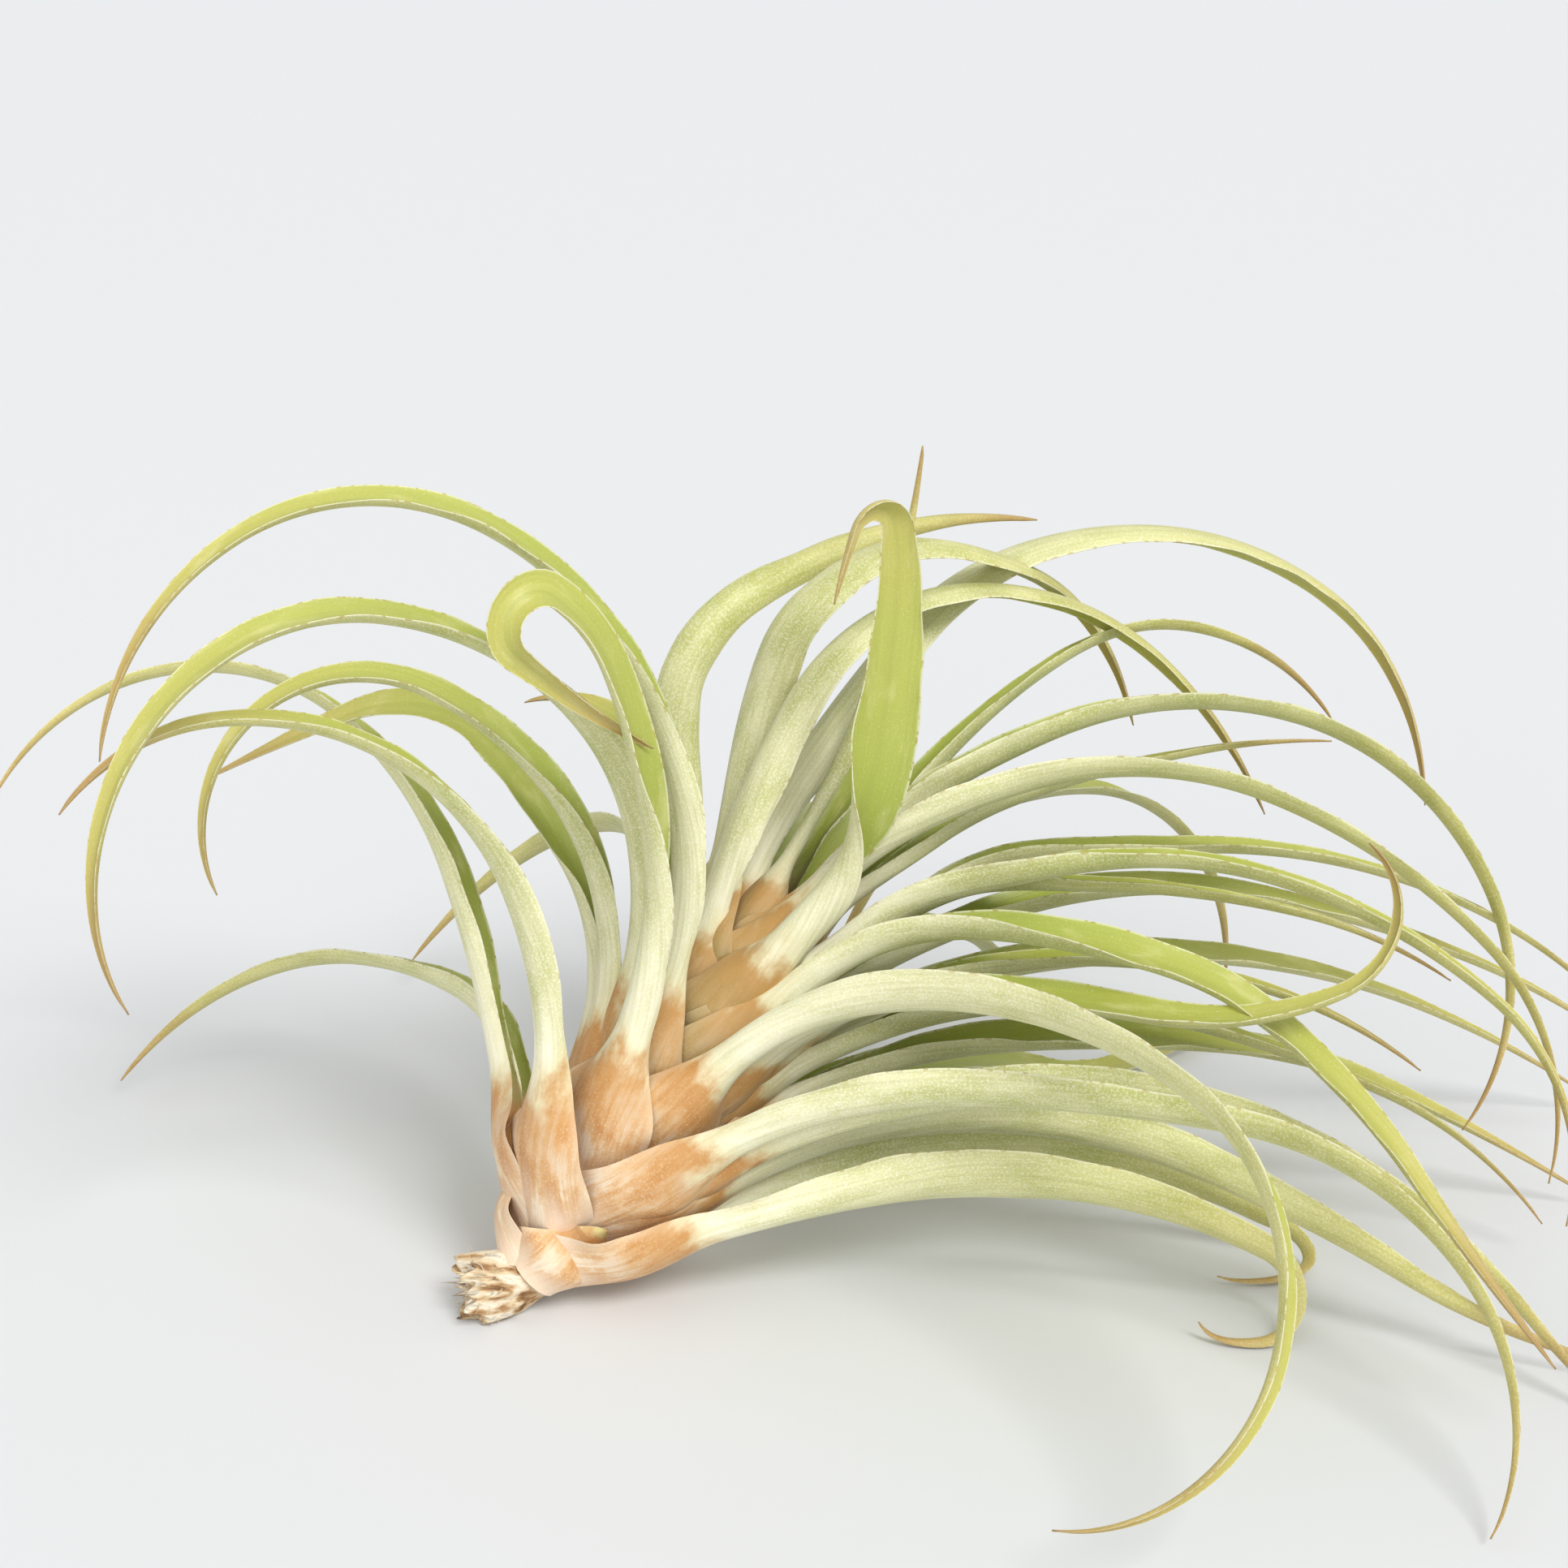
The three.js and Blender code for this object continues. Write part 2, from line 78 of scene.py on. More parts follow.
# Leaves from the stem's foot to its tip: turn round the stem, aim of the arch, lean of the sheath,
# shares of sheath, blade length and blade width, degrees that the blade turns about itself, and its
# lean off the stem at the end of each equal arc: four arcs, or eight in a blade with a tight curl.
leafTable = [
    (200, 200, 35, 0.5, 0.04, 0.9, 0, (35, 35, 35, 40)),
    (-75, -75, 30, 0.6, 0.04, 0.9, 0, (30, 30, 30, 35)),
    (80, 80, 25, 0.35, 0.03, 0.9, 0, (25, 25, 30, 30)),
    (120, 130, 40, 0.85, 0.75, 1.15, -35, (45, 65, 85, 300)),
    (155, 135, 35, 0.85, 0.8, 1.1, -15, (45, 65, 85, 270)),
    (-80, -85, 45, 0.85, 0.7, 0.9, -20, (90, 110, 140, 175)),
    (-55, -60, 45, 0.9, 0.9, 0.9, -10, (55, 85, 135, 190)),
    (0, -15, 40, 0.95, 0.7, 1.0, -10, (60, 95, 130, 180)),
    (125, 125, 35, 0.95, 0.9, 1.1, -30, (50, 80, 90, 70)),
    (90, 115, 35, 1.0, 1.0, 1.05, -5, (60, 70, 115, 175)),
    (220, 220, 40, 0.9, 0.85, 0.95, 0, (55, 75, 105, 140)),
    (110, 125, 35, 1.0, 0.95, 1.05, -15, (50, 75, 100, 120)),
    (185, 180, 35, 0.95, 0.9, 0.95, 10, (50, 70, 85, 110)),
    (20, -5, 30, 1.0, 0.75, 1.0, -50, (35, 45, 55, 65, 95, 270, 275, 280)),
    (-45, -55, 25, 0.9, 0.65, 0.85, -75, (55, 80, 145, 150)),
    (-25, -35, 25, 0.95, 0.75, 0.9, -30, (65, 100, 170, 240)),
    (250, 255, 30, 0.9, 0.85, 0.9, -10, (55, 90, 130, 170)),
    (70, 100, 30, 0.95, 1.05, 1.0, -5, (70, 100, 160, 245)),
    (140, 145, 30, 1.0, 0.9, 0.95, 30, (50, 60, 80, 85)),
    (-10, -5, 25, 1.0, 1.05, 0.95, -10, (80, 120, 185, 250)),
    (125, 140, 25, 1.0, 0.85, 0.85, 15, (50, 70, 80, 110)),
    (95, 115, 25, 1.0, 0.75, 0.95, 40, (60, 70, 35, -80)),
    (10, -25, 25, 0.95, 1.0, 0.95, -25, (55, 100, 160, 210)),
    (160, 155, 25, 1.0, 1.0, 0.9, 20, (45, 60, 75, 85)),
    (115, 130, 25, 1.0, 0.65, 0.85, 20, (40, 60, 75, 95)),
    (205, 200, 30, 0.95, 0.85, 0.9, 0, (50, 75, 105, 145)),
    (-55, -75, 25, 0.9, 0.4, 0.9, -60, (35, 50, 90, 130)),
    (85, 120, 25, 1.0, 0.9, 1.0, 40, (60, 90, 115, 110)),
    (130, 150, 20, 1.0, 1.0, 0.85, 20, (40, 65, 75, 90)),
    (240, 235, 25, 0.95, 0.8, 0.9, 0, (50, 80, 120, 160)),
    (65, 5, 20, 1.05, 0.6, 1.15, -115, (10, 20, 35, 40, 45, 55, 205, 215)),
    (90, 125, 25, 1.0, 0.95, 0.95, 20, (40, 75, 100, 165)),
    (-65, -10, 25, 0.8, 0.75, 0.75, 60, (45, -25, -40, -60)),
    (105, 135, 20, 1.05, 0.65, 0.8, 15, (45, 60, 70, 90)),
    (120, 145, 20, 1.0, 0.95, 0.8, 15, (40, 60, 80, 105)),
    (220, 220, 20, 0.9, 0.75, 0.85, 0, (45, 75, 115, 155)),
    (-10, -20, 20, 0.7, 0.95, 1.05, 0, (5, -50, -90, -120)),
    (70, 130, 15, 1.0, 1.0, 0.95, 10, (40, 80, 105, 165)),
    (-30, -15, 10, 0.9, 1.2, 1.15, 0, (-10, -50, -85, -140)),
    (175, 180, 10, 0.9, 0.8, 0.8, 0, (35, 60, 95, 135)),
    (-25, -5, 20, 0.85, 0.85, 1.1, 0, (20, -50, -85, -125)),
    (85, 145, 10, 0.95, 1.1, 0.95, 5, (30, 70, 120, 185)),
    (150, 160, 5, 0.85, 0.75, 0.75, -10, (5, 25, 65, 105)),
    (120, 155, 10, 0.85, 0.6, 0.7, 0, (30, 40, 45, 55)),
    (-110, -130, 5, 0.8, 0.6, 0.75, 0, (25, 60, 105, 150)),
    (10, 0, 5, 0.8, 0.45, 0.4, 0, (10, 25, 30, 35)),
]
oldSheaths = 3                            # the first rows have lost their blades
leafNames = (["sheath_%d" % (i + 1) for i in range(oldSheaths)]
             + ["leaf_%02d" % (i + 1) for i in range(len(leafTable) - oldSheaths)])


def linear(hexColour, alpha=1.0):         # sRGB hex to the linear values that shaders want
    parts = np.array([int(hexColour[i:i + 2], 16) for i in (0, 2, 4)]) / 255
    parts = np.where(parts <= 0.04045, parts / 12.92, ((parts + 0.055) / 1.055) ** 2.4)
    return (*parts.tolist(), alpha)


def smooth(x):                            # 3x^2 - 2x^3 between 0 and 1
    x = np.clip(x, 0, 1)
    return x * x * (3 - 2 * x)


def between(a, b, share):
    return a + (b - a) * share


# The stem's own axes: along it, its top side and its front side.
rise, heading = math.radians(plant["stemRise"]), math.radians(plant["stemHeading"])
along = np.array([math.cos(rise) * math.cos(heading), math.cos(rise) * math.sin(heading), math.sin(rise)])
front = np.array([math.sin(heading), -math.cos(heading), 0])
top = np.cross(front, along)

# The CAD stem ends in a disc a quarter as wide as the stem, so its box's far corner gives the foot.
foot = np.array(plant["foot"], float)
endRadius = plant["tipShare"] * plant["stemRadius"]
stemEnd = foot + along * plant["stemLength"] + endRadius * np.sqrt(1 - along ** 2)
shift = np.array(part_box("stem")[1]) / mm - stemEnd


def place(points):                        # plant millimetres to the frame's metres
    return (np.asarray(points) + shift) * mm


def addCamera():
    look = cameraView
    data = bpy.data.cameras.new("camera")
    data.lens, data.sensor_width = look["lens"], look["sensor"]
    data.clip_start, data.clip_end = look["nearest"], look["farthest"]
    data.dof.use_dof = False
    camera = bpy.data.objects.new("camera", data)
    camera.location = place(foot + np.array(look["fromFoot"]))
    camera.rotation_euler = (math.radians(90 - look["lookDown"]), 0, 0)
    bpy.context.scene.collection.objects.link(camera)
    bpy.context.scene.camera = camera


def addSun(name, origin, wide, strength):    # a large soft light: its shadows fade over so many degrees
    data = bpy.data.lights.new(name, "SUN")
    data.energy, data.angle, data.color = strength, math.radians(wide), linear(studio["sunColour"])[:3]
    sun = bpy.data.objects.new(name, data)
    x, y, z = origin
    sun.rotation_euler = (math.atan2(math.hypot(x, y), z), 0, math.atan2(y, x) + math.pi / 2)
    bpy.context.scene.collection.objects.link(sun)


def addSky():                             # an even pale light from all round
    world = bpy.data.worlds.new("studio")
    bpy.context.scene.world = world
    world.use_nodes = True
    backdrop = world.node_tree.nodes["Background"]
    backdrop.inputs["Color"].default_value = linear(studio["skyColour"])
    backdrop.inputs["Strength"].default_value = studio["skyStrength"]


def addNode(tree, kind, inputs, out=0, stops=(), **settings):    # adds a node and gives one of its outputs
    node = tree.nodes.new("ShaderNode" + kind)
    for name, value in settings.items():
        setattr(node, name, value)
    for name, value in inputs.items():
        if isinstance(value, bpy.types.NodeSocket):
            tree.links.new(value, node.inputs[name])
        else:
            node.inputs[name].default_value = value
    for _ in stops[2:]:                   # a new colour ramp has two stops
        node.color_ramp.elements.new(0.5)
    for element, (spot, colour) in zip(node.color_ramp.elements if stops else (), stops):
        element.position, element.color = spot, linear(colour)
    return node.outputs[out] if node.outputs else None


def newMaterial(name):
    material = bpy.data.materials.new(name)
    material.use_nodes = True
    material.node_tree.nodes.clear()
    return material, material.node_tree


def paint(tree, at, colour, coats):
    # Lays coats over a colour. Each follows a value: its share eases from one to another while the
    # value goes from low to high. A share and a coat's colour may be names in at.
    for value, low, high, shareLow, shareHigh, coat in coats:
        share = addNode(tree, "MapRange", {0: at[value], 1: low, 2: high, 3: shareLow,
                                           4: at.get(shareHigh, shareHigh)}, interpolation_type="SMOOTHSTEP")
        over = at[coat] if coat in at else linear(coat)
        colour = addNode(tree, "Mix", {0: share, 6: colour, 7: over}, out=2, data_type="RGBA")
    return colour


def outward(turn):                        # the way off the stem: 0 is its top side, 90 degrees its front
    return np.cos(turn)[..., None] * top + np.sin(turn)[..., None] * front


def leafPaths():
    # Midlines of all leaves at once. Each leaves the stem on a straight cone, its sheath, and then
    # leans off the stem by straight-line steps between its arcs; ahead is cos(lean) along the
    # stem plus sin(lean) outward, and the path is the running sum of ahead.
    turn, aim, cone, sheathShare, longShare, wideShare, roll = np.array([row[:7] for row in leafTable]).T
    turn, aim, roll = np.radians(turn), np.radians(aim), np.radians(roll)
    arcTable = [row[7] for row in leafTable]
    sheath = (plant["sheathLength"] * sheathShare)[:, None]
    blade = (plant["bladeLength"] * longShare)[:, None]
    steps = plant["stations"] * plant["fineSteps"]
    run = (sheath + blade) * np.linspace(0, 1, steps + 1)
    share = np.clip((run - sheath) / blade, 0, 1)
    lean = np.radians([np.interp(row, np.linspace(0, 1, len(arcs) + 1), (start, *arcs))
                       for row, start, arcs in zip(share, cone, arcTable)])[..., None]
    swing = smooth((run / sheath - plant["swingFrom"]) / (plant["swingTo"] - plant["swingFrom"]))
    side = outward(between(turn[:, None], aim[:, None], swing))
    ahead = along * np.cos(lean) + side * np.sin(lean)
    inner = along * np.sin(lean) - side * np.cos(lean)
    across = np.cross(along, side)
    turned = (roll[:, None] * smooth(share / plant["rollBy"]))[..., None]
    across, inner = (across * np.cos(turned) + np.cross(ahead, across) * np.sin(turned),
                     inner * np.cos(turned) + np.cross(ahead, inner) * np.sin(turned))
    baseRadius = plant["stemRadius"] + plant["thickness"] / 2 + plant["gap"]
    node = np.linspace(plant["firstNode"], plant["lastNode"], len(cone))
    start = foot + node[:, None] * along + outward(turn) * baseRadius
    moved = np.cumsum(ahead * (sheath + blade)[..., None] / steps, 1)
    point = start[:, None] + np.concatenate([np.zeros_like(moved[:, :1]), moved[:, :-1]], 1)
    swell = plant["bulge"] * np.sin(np.pi * np.minimum(run / sheath / plant["neckAt"], 1)) ** 2
    drawnIn = smooth((run / sheath - plant["drawInFrom"]) / (plant["neckAt"] - plant["drawInFrom"]))
    bladePart = plant["bladeWidth"] * wideShare[:, None] * (1 - share ** plant["taper"])
    return dict(
        point=point - inner * swell[..., None], across=across, inner=inner,
        run=run, share=share, sheath=sheath, drawnIn=drawnIn,
        width=plant["tipWidth"] + between(plant["sheathWidth"], bladePart, drawnIn),
        free=smooth((run - sheath) / sheath), radius=baseRadius + run * np.sin(np.radians(cone))[:, None],
    )


def settle(paths):
    # Blades give way to older ones that they would run into, mostly front to back, as in the CAD
    # model, at every eighth station. The stations between follow by a smooth curve.
    every, reach, thickness = plant["fineSteps"], plant["tableReach"], plant["thickness"]
    coarse = paths["point"][:, ::every].copy()
    width, free = paths["width"][:, ::every], paths["free"][:, ::every]
    low = np.minimum(width / 2, reach) * np.abs(paths["across"][:, ::every, 2]) + thickness
    for leaf in range(len(coarse)):
        older = coarse[:leaf].reshape(-1, 3)
        for _ in range(plant["passes"] if leaf else 0):
            apart = coarse[leaf][:, None] - older
            distance = np.linalg.norm(apart, axis=2)
            room = plant["roomShare"] * (width[leaf][:, None] + width[:leaf].reshape(-1)) + 2 * thickness
            push = np.maximum(room - distance, 0) * free[leaf][:, None] * free[:leaf].reshape(-1)
            shifts = np.sum(apart / distance[..., None] * push[..., None], 1) * plant["giveWay"]
            ends = np.concatenate([shifts[:1], shifts, shifts[-1:]])
            coarse[leaf] += 0.5 * shifts + 0.25 * ends[:-2] + 0.25 * ends[2:]    # shared with its neighbours
        coarse[leaf, :, 2] = np.maximum(coarse[leaf, :, 2], low[leaf])
    moved = coarse - paths["point"][:, ::every]
    # Each fine station takes shares of the coarse ones: straight-line shares, averaged over two steps.
    count = paths["run"].shape[1]
    weights = np.array([np.interp(np.arange(count) / every, np.arange(len(row)), row)
                        for row in np.eye(moved.shape[1])]).T
    padded = np.concatenate([weights[:1].repeat(every, 0), weights, weights[-1:].repeat(every, 0)])
    sums = np.cumsum(padded, 0)
    weights = (sums[2 * every:] - sums[:-2 * every])[:count] / (2 * every)
    paths["point"] = paths["point"] + np.einsum("sc,lcx->lsx", weights, moved)
    # The table holds a blade up: its height over the lowest place is (clear + sqrt(clear^2 + 4)) / 2.
    low = np.minimum(paths["width"] / 2, reach) * np.abs(paths["across"][..., 2]) + thickness
    clear = paths["point"][..., 2] - low
    paths["point"][..., 2] = low + (clear + np.sqrt(clear ** 2 + plant["softBend"] ** 2)) / 2


leafLook = dict(
    columns=22,                           # faces across each side of a leaf
    folds=(112, 95.2, 50, 56, 80),        # degrees that half a leaf is folded up
    foldAt=(0, 0.15, 0.4, 0.7, 1),        # and the shares of the blade where it is
    neckWidth=0.7,                        # share of the width at the neck
    neckCentre=1.25, neckSpread=0.5,      # sheath lengths from the stem to the neck, and its reach
    middle=1.35, edge=0.22, thinning=2.4,    # mm thick at the midrib and at the margin, and how it thins
    sheathThick=0.7, leastThick=0.3,      # shares of it in the sheath and in the thread
    ripple=0.5, rippleEvery=23, uneven=0.02,    # mm that margins wander, how often, share the width varies
    flare=0.9, flareEvery=17,             # mm that a sheath's margins lift off, and how often it varies
    flareRise=3, flareMiddle=1.2, flareAtMargin=5,    # how soon it starts, its middle, its power of u
    tone=(0.2, 0.7), dryness=(0.3, 0.8),    # how green and how dry leaves are, from least to most
    oldStretch=0.7,                       # an old sheath shows only this share of a sheath's colours
    threadFrom=0.02, threadWidth=0.1,     # the last share of a blade, and the least of its width squared
    claspMost=150,                        # degrees that half a sheath clasps at most
    leafApart=0.13,                       # each leaf's pattern lies this far from the last one's
)


def waves(rng, run, every):               # a smooth wander of about +-1: three sine waves at random phases
    phases = rng.uniform(0, 2 * math.pi, 3)
    sizes = rng.uniform(0.7, 1.4, 3) * every
    return sum(np.sin(2 * math.pi * run / size + phase) for size, phase in zip(sizes, phases)) / 2.2


def leafMesh(paths, leaf):
    # A leaf is a sheet bent into an arc at each station of its midline. With u from margin to margin
    # and angle = fold times u, a point is the midline + across * reach * sin(angle)
    # + inner * (bend - reach * cos(angle)), where reach is the arc's radius, bend, with the margin's
    # lift and half the thickness, outwards for the outer face and inwards for the inner one.
    look = leafLook
    rng = np.random.default_rng(100 + leaf)
    pick = {name: values[leaf] for name, values in paths.items()}
    run, share, drawnIn = pick["run"], pick["share"], pick["drawnIn"]
    sheathShare = run / pick["sheath"]
    # Flat width: the CAD's, drawn in further at the neck and ending in a thread.
    neck = np.exp(-((sheathShare - look["neckCentre"]) / look["neckSpread"]) ** 2)
    thread = np.sqrt(np.clip((1 - share) / look["threadFrom"], look["threadWidth"], 1))
    width = pick["width"] * (1 - (1 - look["neckWidth"]) * neck)
    width = width * (1 + look["uneven"] * waves(rng, run, look["rippleEvery"])) * thread
    wideness = width / plant["bladeWidth"]
    # Fold: half a leaf's angle round its own axis, rolled at the neck, open in the blade.
    bladeBend = width / 2 / np.radians(np.interp(share, look["foldAt"], look["folds"]))
    bend = 1 / between(1 / pick["radius"], 1 / bladeBend, drawnIn)
    fold = np.minimum(width / 2 / bend, math.radians(look["claspMost"]))
    u = np.sin(np.linspace(-1, 1, look["columns"] + 1) * math.pi / 2)
    angle = fold[:, None] * u
    # Thickness: thin at the margins, and less in the sheath and where the leaf is narrow.
    thick = look["edge"] + (look["middle"] - look["edge"]) * (1 - np.abs(u) ** look["thinning"])
    thick = thick * np.clip(look["leastThick"] + wideness, 0, 1)[:, None]
    thick = thick * between(look["sheathThick"], 1, smooth(sheathShare - 0.5))[:, None]
    # Margins wander, each its own way, and a sheath's lift off the leaf beneath.
    left, right = (waves(rng, run, look["rippleEvery"])[:, None] for _ in range(2))
    lift = look["ripple"] * np.where(u < 0, left, right) * np.clip(wideness, 0, 1)[:, None]
    varied = look["flareMiddle"] + waves(rng, run, look["flareEvery"])
    loose = smooth(sheathShare * look["flareRise"]) * (1 - drawnIn) * varied
    lift = (lift + look["flare"] * loose[:, None]) * np.abs(u) ** look["flareAtMargin"]
    sides = []
    for way in (1, -1):                   # outer face, then inner face
        reach = bend[:, None] + lift + way * thick / 2
        sides.append(pick["point"][:, None] + pick["across"][:, None] * (reach * np.sin(angle))[..., None]
                     + pick["inner"][:, None] * (bend[:, None] - reach * np.cos(angle))[..., None])
    ring = np.concatenate([sides[0], sides[1][:, ::-1]], 1)
    rows, around = ring.shape[:2]
    here = np.arange(rows - 1)[:, None] * around + np.arange(around)
    beside = np.arange(rows - 1)[:, None] * around + (np.arange(around) + 1) % around
    quads = np.stack([here + around, beside + around, beside, here], 2).reshape(-1, 4)
    column = np.arange(look["columns"])
    cap = np.stack([column, around - 1 - column, around - 2 - column, column + 1], 1)
    faces = np.concatenate([quads, cap[:, ::-1], cap + (rows - 1) * around])
    both = np.concatenate([u, u[::-1]])
    flat = np.stack([(width / 2)[:, None] * both * mm + look["leafApart"] * leaf,
                     np.broadcast_to(run[:, None] * mm, (rows, around))], 2)
    old = leaf < oldSheaths
    values = dict(
        sheathShare=np.repeat(np.minimum(sheathShare, 4) * (look["oldStretch"] if old else 1), around),
        bladeShare=np.repeat(share, around),
        innerFace=np.tile(np.repeat([0.0, 1.0], len(u)), rows),
        margin=np.tile(np.abs(both), rows),
        tone=np.full(rows * around, rng.uniform(*look["tone"])),
        dryness=np.full(rows * around, 1.0 if old else rng.uniform(*look["dryness"])),
        age=np.full(rows * around, leaf / len(leafTable)),
    )
    return place(ring.reshape(-1, 3)), faces, flat.reshape(-1, 2), values


def addMesh(name, spots, faces, material, flat=None, values=None):
    mesh = bpy.data.meshes.new(name)
    mesh.vertices.add(len(spots))
    mesh.vertices.foreach_set("co", spots.astype(np.float32).ravel())
    mesh.loops.add(faces.size)
    mesh.loops.foreach_set("vertex_index", faces.astype(np.int32).ravel())
    mesh.polygons.add(len(faces))
    mesh.polygons.foreach_set("loop_start", np.arange(len(faces), dtype=np.int32) * faces.shape[1])
    mesh.update(calc_edges=True)
    mesh.polygons.foreach_set("use_smooth", np.ones(len(faces), bool))
    if flat is not None:
        mesh.uv_layers.new(name="flat").data.foreach_set("uv", flat[faces.ravel()].astype(np.float32).ravel())
    for key, numbers in (values or {}).items():
        mesh.attributes.new(key, "FLOAT", "POINT").data.foreach_set("value", numbers.astype(np.float32))
    mesh.validate()
    mesh.materials.append(material)
    piece = bpy.data.objects.new(name, mesh)
    bpy.context.scene.collection.objects.link(piece)
    return piece


stemLook = dict(
    stumpWay=(-0.97, -0.22, 0),           # the way the stump points, turned to the side
    around=72, rings=170, kink=6,         # sides, rings, and mm over which the stem turns
    lumps=1.2, swellOver=8,               # mm that the stump's lumps stand out, and over which it swells
    lumpWaves=(                           # share of the lumps, times round the stem, drift for each mm
        (0.5, 2, 0.11), (0.4, 3, -0.16), (0.3, 5, 0.2), (0.25, 9, -0.13), (0.2, 14, 0.24)),
    torn=1.7, tornBack=6,                 # mm that its end is torn, and how far back
    tornWaves=(3, 5, 11),                 # times round the stem
    endRings=(0.12, 0.35, 0.6, 0.82),     # shares of the radius of the rings that close an end
    splinters=190, longest=7, widest=1.5,    # torn fibres and their mm
    splinterReach=9, endFibres=2,         # mm of the stump that they stand on, and of its end
    splinterSides=6, splinterRows=7, flatness=0.45,    # a fibre's faces, and its thickness for its width
    root=0.2, point=0.06,                 # share of a fibre that is in the stem, and mm across its point
    inEnd=0.45, rim=0.97, outside=1.05,   # share of fibres inside the broken end, and shares of the radius
    splay=(0.1, 0.75), stray=0.16, curl=0.35,    # how far fibres lean out, stray and curl
    clearance=0.1,                        # mm that the lowest fibres stay over the table, and as much again
)


def stemRoute(s):                         # s in mm from the foot: the stump below 0, the leafy stem above
    way = np.array(stemLook["stumpWay"]) / np.linalg.norm(stemLook["stumpWay"])
    rounded = np.sqrt(s ** 2 + stemLook["kink"] ** 2)
    up, down = (s + rounded - stemLook["kink"]) / 2, (rounded - s - stemLook["kink"]) / 2
    return foot + up[..., None] * along + down[..., None] * way, way


def unit(vectors):                        # rows of vectors, each made 1 long
    return vectors / np.linalg.norm(vectors, axis=1)[:, None]


def closedTubes(rings):
    # Rings as an array (pieces, rows, around, 3) to points and triangles, with each end closed to its middle.
    pieces, rows, around = rings.shape[:3]
    here = np.arange(around)
    beside = (here + 1) % around
    base = (np.arange(rows - 1) * around)[:, None]
    size = rows * around
    sides = np.concatenate([
        np.stack([base + here, base + beside, base + around + beside], 2),
        np.stack([base + here, base + around + beside, base + around + here], 2)]).reshape(-1, 3)
    ends = np.concatenate([
        np.stack([beside, here, np.full(around, size)], 1),
        np.stack([size - around + here, size - around + beside, np.full(around, size + 1)], 1)])
    faces = np.concatenate([sides, ends]) + (np.arange(pieces) * (size + 2))[:, None, None]
    spots = np.concatenate([rings.reshape(pieces, size, 3), rings[:, :1].mean(2), rings[:, -1:].mean(2)], 1)
    return spots.reshape(-1, 3), faces.reshape(-1, 3)


